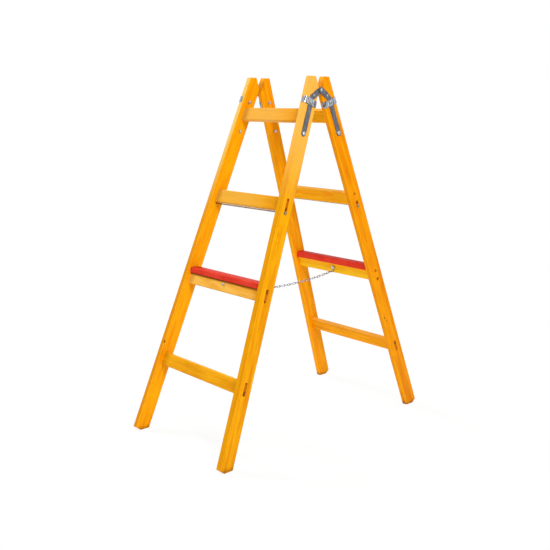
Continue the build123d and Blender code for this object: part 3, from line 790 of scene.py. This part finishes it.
# %% Tread covers
COVER_TOP = 527.8 * MM  # heights above the floor, and distances from the ladder's middle
COVER_INNER_LIP = 507.0 * MM
COVER_OUTER_LIP = 511.0 * MM
COVER_OUTER_WALL = 260.5 * MM
COVER_INNER_WALL = 228.0 * MM
COVER_BAR = 2.5 * STILE_HALF_WIDTH  # longer than the rung, before the ends are cut
COVER_ROUND = 3.0 * MM
COVER_FIT = 0.3 * MM  # play round the rung and at the stiles
NEAR = 1.0 * MM  # an edge this near to a height or a wall is at it
RUNG_SECTION = (19.0 * MM, 42.0 * MM)
STILE_WIDTH = 18.0 * MM

for end, way in ENDS.items():
    drop, rung_middle = rung_place(end, COVERED_RUNG)
    depth, height = COVER_OUTER_WALL - COVER_INNER_WALL, COVER_TOP - COVER_INNER_LIP
    middle = Vector((0, -way * (COVER_OUTER_WALL - depth / 2), COVER_TOP - height / 2))
    cover = bar((COVER_BAR, depth, height), middle)
    pick_rails(cover, lambda spot: spot.z > COVER_TOP - NEAR)
    bpy.ops.mesh.bevel(offset=COVER_ROUND, segments=4, affect="EDGES")
    outer, low = COVER_OUTER_WALL - NEAR, COVER_INNER_LIP + NEAR
    pick_rails(cover, lambda spot: spot.z < low and -way * spot.y > outer)
    bpy.ops.transform.translate(value=(0, 0, COVER_OUTER_LIP - COVER_INNER_LIP))
    for side in SIDES:
        face = on_stile(end, side, drop, STILE_MIDDLE, STILE_WIDTH + COVER_FIT)
        bpy.ops.mesh.select_all(action="SELECT")
        bpy.ops.mesh.bisect(plane_co=face, plane_no=stile_out(end, side), use_fill=True, clear_outer=True)
    finish_piece(cover)
    groove = bar((COVER_BAR, *(size + 2 * COVER_FIT for size in RUNG_SECTION)), (0, 0, 0))
    groove.matrix_world = Matrix.Translation(rung_middle) @ Matrix.Rotation(-way * LEAN, 4, "X")
    cut_from(cover, groove)
    stand_for(f"{end}_tread_cover", [cover], red_plastic)
    print(f"{end} cover {depth / MM:.1f} mm deep, {len(cover.data.polygons)} faces")

# %% [markdown]
# ## Small round hardware
# In the solids, bolt heads and washers have a few flats each. Here each is turned round again. A profile
# spun about an axis would do it too, but a pin grows more plainly out of a short cylinder: the top is
# raised ring by ring to a dome, and the shank is drawn out of the underside. Places are measured on the
# solids that they replace, so that nothing has to be fitted by eye.

# %% Pins and washers
ROUND = 32
CROWN_RINGS = 5
RIM_SHARE = 0.25  # the part of a head's height that is upright
LEVEL = 0.9  # a face whose normal's Z is more than this is a top or a bottom


def start_cylinder(sides, radius, height):
    """A cylinder that stands on the origin, in edit mode."""
    bpy.ops.object.select_all(action="DESELECT")
    middle = (0, 0, height / 2)
    bpy.ops.mesh.primitive_cylinder_add(vertices=sides, radius=radius, depth=height, location=middle)
    bpy.ops.object.transform_apply(location=True)
    bpy.ops.object.mode_set(mode="EDIT")
    return bpy.context.object


def domed_pin(head_radius, head_height, shank_radius, shank_length):
    """A round head that sits on the origin with its dome up, and its shank below."""
    rim = RIM_SHARE * head_height
    pin = start_cylinder(ROUND, head_radius, rim)
    pick(pin, "FACE", lambda face: face.normal.z > LEVEL)
    steps = [math.pi / 2 * ring / (CROWN_RINGS + 1) for ring in range(CROWN_RINGS + 1)]
    for low, high in zip(steps, steps[1:]):
        bpy.ops.mesh.inset(
            thickness=head_radius * (math.cos(low) - math.cos(high)),
            depth=(head_height - rim) * (math.sin(high) - math.sin(low)),
        )
    pick(pin, "FACE", lambda face: face.normal.z < -LEVEL)
    bpy.ops.mesh.inset(thickness=head_radius - shank_radius)
    bpy.ops.mesh.extrude_region_move(TRANSFORM_OT_translate={"value": (0, 0, -shank_length)})
    return finish_piece(pin)


def round_washer(radius, hole_radius, thickness):
    """A flat ring that lies on the origin."""
    ring = start_cylinder(ROUND, radius, thickness)
    pick(ring, "FACE", lambda face: abs(face.normal.z) > LEVEL)
    bpy.ops.mesh.inset(thickness=radius - hole_radius)
    bpy.ops.mesh.bridge_edge_loops()
    return finish_piece(ring)


print(f"round hardware has {ROUND} sides")

# %% Nuts, and where things go
NUT_EASE = 0.1  # how much of a nut's width its upper corners are eased by


def hexagon_nut(width, height, bore_radius):
    """A nut that stands on the origin, its upper corners eased, with a round bore."""
    nut = start_cylinder(6, width / math.sqrt(3), height)
    pick(nut, "FACE", lambda face: face.normal.z > LEVEL)
    bpy.ops.mesh.bevel(offset=NUT_EASE * width, segments=2, affect="EDGES")
    finish_piece(nut)
    bore = start_cylinder(ROUND, bore_radius, 3 * height)
    bore.location.z = -height
    cut_from(nut, bore)
    return nut


def settle(piece, placement):
    """Move a piece to its placement, and put that in its mesh."""
    select_only(piece)
    piece.matrix_world = placement
    bpy.ops.object.transform_apply()
    return piece


def place(piece, seat, axis):
    """Stand a piece on a seat, its Z along an axis."""
    return settle(piece, Matrix.Translation(seat) @ axis.to_track_quat("Z", "Y").to_matrix().to_4x4())


def measure(node_name, axis, side=0):
    """The line through a node's middle along an axis: its lowest point, its length, and its largest radius.
    With a side, only the solid on that side of the ladder counts."""
    spots = [v.co for v in nodes[node_name].data.vertices if not side or v.co.x * side > 0]
    heights = [spot.dot(axis) for spot in spots]
    flat_u = axis.orthogonal().normalized()
    flat_v = axis.cross(flat_u)
    middle = sum(
        (d * (max(s.dot(d) for s in spots) + min(s.dot(d) for s in spots)) / 2 for d in (flat_u, flat_v)),
        axis * min(heights),
    )
    radius = max((s - middle - axis * (s - middle).dot(axis)).length for s in spots)
    return middle, max(heights) - min(heights), radius


print(f"hinge pins measure {measure('hinge_pin_rivets', ACROSS, 1)[1] / MM:.1f} mm over all")

# %% [markdown]
# ## Bolts, nuts, screws and rods of the frames
# Each frame has a pair of every fastener, one on each stile. The head's thickness and the shank's radius
# are the only sizes that have to be written down again. The rest is measured. A cross is cut into the
# screws' heads. A tie rod is a long pin with a head on a washer at each end.

# %% Bolts and screws
BOLT_HEAD = 2.8 * MM
BOLT_SHANK = 3.0 * MM
SCREW_HEAD = 2.2 * MM
SCREW_SHANK = 2.0 * MM
RECESS_LENGTH = 4.6 * MM  # the cross in a screw's head
RECESS_WIDTH = 1.4 * MM
RECESS_DEPTH = 1.5 * MM
FASTENERS = {
    "band_bolts": (BOLT_HEAD, BOLT_SHANK, worn_zinc),
    "strap_bolts": (BOLT_HEAD, BOLT_SHANK, bright_zinc),
    "hinge_arm_screws": (SCREW_HEAD, SCREW_SHANK, worn_zinc),
}

for end in ENDS:
    for name, (head, shank, plating) in FASTENERS.items():
        pair = []
        for side, way in SIDES.items():
            axis = stile_out(end, side)
            tip, length, radius = measure(f"{end}_{name}", axis, way)
            pin = domed_pin(radius, head, shank, length - head)
            if name == "hinge_arm_screws":
                for arm in ((RECESS_LENGTH, RECESS_WIDTH), (RECESS_WIDTH, RECESS_LENGTH)):
                    cut_from(pin, bar((*arm, 2 * RECESS_DEPTH), (0, 0, head)))
            pair.append(place(pin, tip + axis * (length - head), axis))
        stand_for(f"{end}_{name}", pair, plating)
print("turned round:", ", ".join(FASTENERS))

# %% Nuts
NUT_WIDTH = 10.0 * MM
FRAME_NUTS = ("band_nuts", "strap_nuts")

for end in ENDS:
    for name in FRAME_NUTS:
        pair = []
        for side, way in SIDES.items():
            axis = -stile_out(end, side)
            seat, height, _ = measure(f"{end}_{name}", axis, way)
            pair.append(place(hexagon_nut(NUT_WIDTH, height, BOLT_SHANK), seat, axis))
        stand_for(f"{end}_{name}", pair, bright_zinc)
print("bored:", ", ".join(FRAME_NUTS))

# %% Tie rods and their washers
ROD_HEAD = 2.2 * MM
ROD_HEAD_RADIUS = 4.2 * MM
ROD_RADIUS = 2.0 * MM

for end in ENDS:
    washers, rod_pieces, head_seats = [], [], []
    for side, way in SIDES.items():
        axis = stile_out(end, side)
        seat, thickness, radius = measure(f"{end}_tie_rod_washers", axis, way)
        washers.append(place(round_washer(radius, ROD_RADIUS, thickness), seat, axis))
        head_seats.append(seat + axis * thickness)
        head = domed_pin(ROD_HEAD_RADIUS, ROD_HEAD, ROD_RADIUS, thickness)
        rod_pieces.append(place(head, head_seats[-1], axis))
    rod_length = (head_seats[0] - head_seats[1]).length
    rod = finish_piece(start_cylinder(ROUND, ROD_RADIUS, rod_length))
    rod_pieces.append(place(rod, head_seats[1], ACROSS))
    stand_for(f"{end}_tie_rod_washers", washers, dull_zinc)
    stand_for(f"{end}_tie_rod", rod_pieces, dull_zinc)
    print(f"{end} tie rod {rod_length / MM:.1f} mm long")

# %% [markdown]
# ## Hinge pins
# A rivet holds each pair of hinge leaves: a dome outside, and a flat tail that was spread against the
# inner leaf. Head and tail are two of the same pins, set foot to foot, so that the rivet needs no helper
# of its own.

# %% Hinge pin rivets
RIVET_HEAD = 2.4 * MM
RIVET_SHANK = 2.97 * MM
RIVET_TAIL_RADIUS = 4.5 * MM
RIVET_TAIL = 0.8 * MM

pins = []
for side in SIDES.values():
    axis = ACROSS * side
    tip, length, radius = measure("hinge_pin_rivets", axis, side)
    shank = length - RIVET_HEAD
    pins.append(place(domed_pin(radius, RIVET_HEAD, RIVET_SHANK, shank), tip + axis * shank, axis))
    tail = domed_pin(RIVET_TAIL_RADIUS, RIVET_TAIL, RIVET_SHANK, RIVET_TAIL)
    pins.append(place(tail, tip + axis * RIVET_TAIL, -axis))
stand_for("hinge_pin_rivets", pins, worn_zinc)
print("hinge pins:", len(SIDES))

# %% [markdown]
# ## Chain bolts
# A small bolt goes through the middle of each third rung. Inside the ladder its head and a wide washer
# hold the chain's last link, and outside there is a small washer and a nut. All are the pins, rings and
# nuts from before, on a thinner shank.

# %% Chain bolts, washers and nuts
CHAIN_HEAD = 2.6 * MM
CHAIN_SHANK = 1.95 * MM
CHAIN_NUT_WIDTH = 7.0 * MM

for end in ENDS:
    inward = -face_out(end)
    tip, length, radius = measure(f"{end}_chain_bolt", inward)
    shank = length - CHAIN_HEAD
    bolt = place(domed_pin(radius, CHAIN_HEAD, CHAIN_SHANK, shank), tip + inward * shank, inward)
    stand_for(f"{end}_chain_bolt", [bolt], bright_zinc)
    for name in ("chain_washer", "chain_nut_washer"):
        seat, thickness, radius = measure(f"{end}_{name}", inward)
        ring = place(round_washer(radius, CHAIN_SHANK, thickness), seat, inward)
        stand_for(f"{end}_{name}", [ring], bright_zinc)
    seat, height, _ = measure(f"{end}_chain_nut", -inward)
    nut = place(hexagon_nut(CHAIN_NUT_WIDTH, height, CHAIN_SHANK), seat, -inward)
    stand_for(f"{end}_chain_nut", [nut], bright_zinc)
    print(f"{end} chain bolt {length / MM:.1f} mm long")

# %% [markdown]
# ## Safety chain
# The chain is made of welded wire links, each turned a quarter against the next. One link is a ring of
# wire pulled long: a torus whose two halves are moved apart. Copies along a curve would not hang as the
# solid chain does, which already has every link in its place. So a copy of it is taken apart, and each of
# its links says where a round one goes, how it lies and how long it is.

# %% Make the links
WIRE_RADIUS = 1.0 * MM
LINK_BEND_RADIUS = 3.2 * MM
FLAT_WIRE = 2 * WIRE_RADIUS * math.cos(math.pi / 6)  # the solid chain's wire has six sides
TORUS_STEPS = 18
WIRE_STEPS = 10
WELD = 0.001 * MM  # the solid's loose corners that are this near are one


def round_link(length):
    """A link in the XY plane, its wire's middle line a given length over all along X."""
    bpy.ops.object.select_all(action="DESELECT")
    bpy.ops.mesh.primitive_torus_add(
        major_radius=LINK_BEND_RADIUS, minor_radius=WIRE_RADIUS,
        major_segments=TORUS_STEPS, minor_segments=WIRE_STEPS,
    )
    link = bpy.context.object
    bpy.ops.object.mode_set(mode="EDIT")
    for way in (1, -1):
        pick(link, "VERT", lambda corner: corner.co.x * way > 0)
        bpy.ops.transform.translate(value=(way * (length / 2 - LINK_BEND_RADIUS), 0, 0))
    return finish_piece(link)


pattern = bpy.data.objects.new("chain_pattern", nodes["safety_chain"].data.copy())
bpy.context.collection.objects.link(pattern)
select_only(pattern)
bpy.ops.object.mode_set(mode="EDIT")
bpy.ops.mesh.select_all(action="SELECT")
bpy.ops.mesh.remove_doubles(threshold=WELD)
bpy.ops.mesh.separate(type="LOOSE")
bpy.ops.object.mode_set(mode="OBJECT")
solid_links = list(bpy.context.selected_objects)
print("links in the solid chain:", len(solid_links))

# %% Place the links
links = []
for solid in solid_links:
    spots = [v.co.copy() for v in solid.data.vertices]
    middle = sum(spots, Vector()) / len(spots)
    furthest = max(spots, key=lambda spot: (spot - middle).yz.length)
    reach = Vector((0, furthest.y - middle.y, furthest.z - middle.z))
    upright = max(abs(spot.x - middle.x) for spot in spots) < 2 * WIRE_RADIUS
    far_half = [spot for spot in spots if (spot - middle).dot(reach) > 0]
    along = (sum(far_half, Vector()) / len(far_half) - middle).normalized()
    length = 2 * max((spot - middle).dot(along) for spot in spots) - FLAT_WIRE
    facing = ACROSS if upright else ACROSS.cross(along)
    placement = standing(middle, along, facing.cross(along), facing)
    links.append(settle(round_link(length), placement))
for solid in solid_links:
    bpy.data.objects.remove(solid)
chain = stand_for("safety_chain", links, chain_zinc)
print("round links:", len(links), "faces:", len(chain.data.polygons))

# %% [markdown]
# When the ladder is shut, the rear rung swings up to the front one and the chain bunches between them.
# Links that fold over each other would need a joint each. Here the chain only gets a mesh of its own, and
# the middle of its front washer is found.

# %% Give the chain a mesh of its own
front_end = sum((v.co for v in nodes["front_chain_washer"].data.vertices), Vector())
front_end /= len(nodes["front_chain_washer"].data.vertices)
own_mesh(chain)

# %% [markdown]
# ## Floor, light and background
# The ladder stands on a plain white floor in a white room. The room lights it evenly from all sides, as a
# tent of paper does. Two soft lamps stand high on the left and on the right, and their shadows are those
# of the photograph: the stiles darken the rungs' ends, and the rungs darken the stiles below them. A weak
# lamp in front and a stronger one high behind bring the other sides to about the brightness of their
# written colours. No lamp stands where the bands would mirror it to the camera. The camera, and mirrors
# such as the zinc, see plain white all round. The floor keeps a faint shadow round the feet and goes over
# to all white further out, so that it has no horizon.

# %% Floor
FLOOR_SIZE = 14.0
FLOOR_COLOUR = "f4f4f2"
FLOOR_GLOW = 0.92  # the share of plain white in the floor that the camera sees, round the ladder
GLOW_REACH = (1.0, 3.2)  # from here to here it goes over to all white
WHITE = (1, 1, 1, 1)


def seen_directly(tree):
    """One for what is seen, straight or in a mirror or through glass, and zero for light on its way."""
    path = node(tree, "ShaderNodeLightPath")
    seen = path.outputs["Is Camera Ray"]
    for kind in ("Is Glossy Ray", "Is Transmission Ray"):
        seen = node(tree, "ShaderNodeMath", {0: seen, 1: path.outputs[kind]}, operation="MAXIMUM")
    return seen


bpy.ops.object.select_all(action="DESELECT")
bpy.ops.mesh.primitive_plane_add(size=FLOOR_SIZE)
floor = bpy.context.object
floor.name = "studio_floor"
floor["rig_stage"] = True

white_floor, tree = new_material("white_floor")
spot = node(tree, "ShaderNodeTexCoord").outputs["Object"]
far = node(tree, "ShaderNodeVectorMath", {0: spot}, operation="LENGTH")
glow = {"From Min": GLOW_REACH[0], "From Max": GLOW_REACH[1], "To Min": FLOOR_GLOW, "To Max": 1.0}
glow = node(tree, "ShaderNodeMapRange", {"Value": far, **glow}, interpolation_type="SMOOTHSTEP")
glow = node(tree, "ShaderNodeMath", {0: seen_directly(tree), 1: glow}, operation="MULTIPLY")
matte = node(tree, "ShaderNodeBsdfDiffuse", {"Color": linear(FLOOR_COLOUR)})
bright = node(tree, "ShaderNodeEmission", {"Color": WHITE, "Strength": 1.0})
surface = node(tree, "ShaderNodeMixShader", {0: glow, 1: matte, 2: bright})
node(tree, "ShaderNodeOutputMaterial", {"Surface": surface})
floor.data.materials.append(white_floor)
print(f"floor {FLOOR_SIZE:.0f} m wide")

# %% World and lamps
ROOM_LIGHT = 0.32
LAMPS = {  # place, power in watts and width
    "left_lamp": ((-2.25, -0.75, 3.4), 100.0, 0.8),
    "right_lamp": ((2.6, -1.0, 2.6), 60.0, 0.8),
    "front_lamp": ((1.4, -3.0, 1.5), 10.0, 1.8),
    "back_lamp": ((0.3, 2.2, 3.4), 50.0, 1.4),
}
LADDER_MIDDLE = Vector((0, 0, 0.55))

world = bpy.data.worlds.new("white_room")
bpy.context.scene.world = world
world.use_nodes = True
tree = world.node_tree
tree.nodes.clear()
strength = {"Value": seen_directly(tree), "To Min": ROOM_LIGHT, "To Max": 1.0}
strength = node(tree, "ShaderNodeMapRange", strength)
room = node(tree, "ShaderNodeBackground", {"Color": WHITE, "Strength": strength})
node(tree, "ShaderNodeOutputWorld", {"Surface": room})

for name, (spot, power, width) in LAMPS.items():
    bpy.ops.object.light_add(type="AREA", location=spot)
    lamp = bpy.context.object
    lamp.name = name
    lamp.data.energy = power
    lamp.data.size = width
    lamp.rotation_euler = (Vector(spot) - LADDER_MIDDLE).to_track_quat("Z", "Y").to_euler()
bpy.context.scene.view_settings.view_transform = "Standard"
print("room light", ROOM_LIGHT, "and", len(LAMPS), "lamps")

# %% [markdown]
# ## The visible model's box
# The last line prints the box that the visible pieces fill.

# %% Measure and finish
low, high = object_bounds()
print("visual box", [round(v, 4) for v in low], [round(v, 4) for v in high])
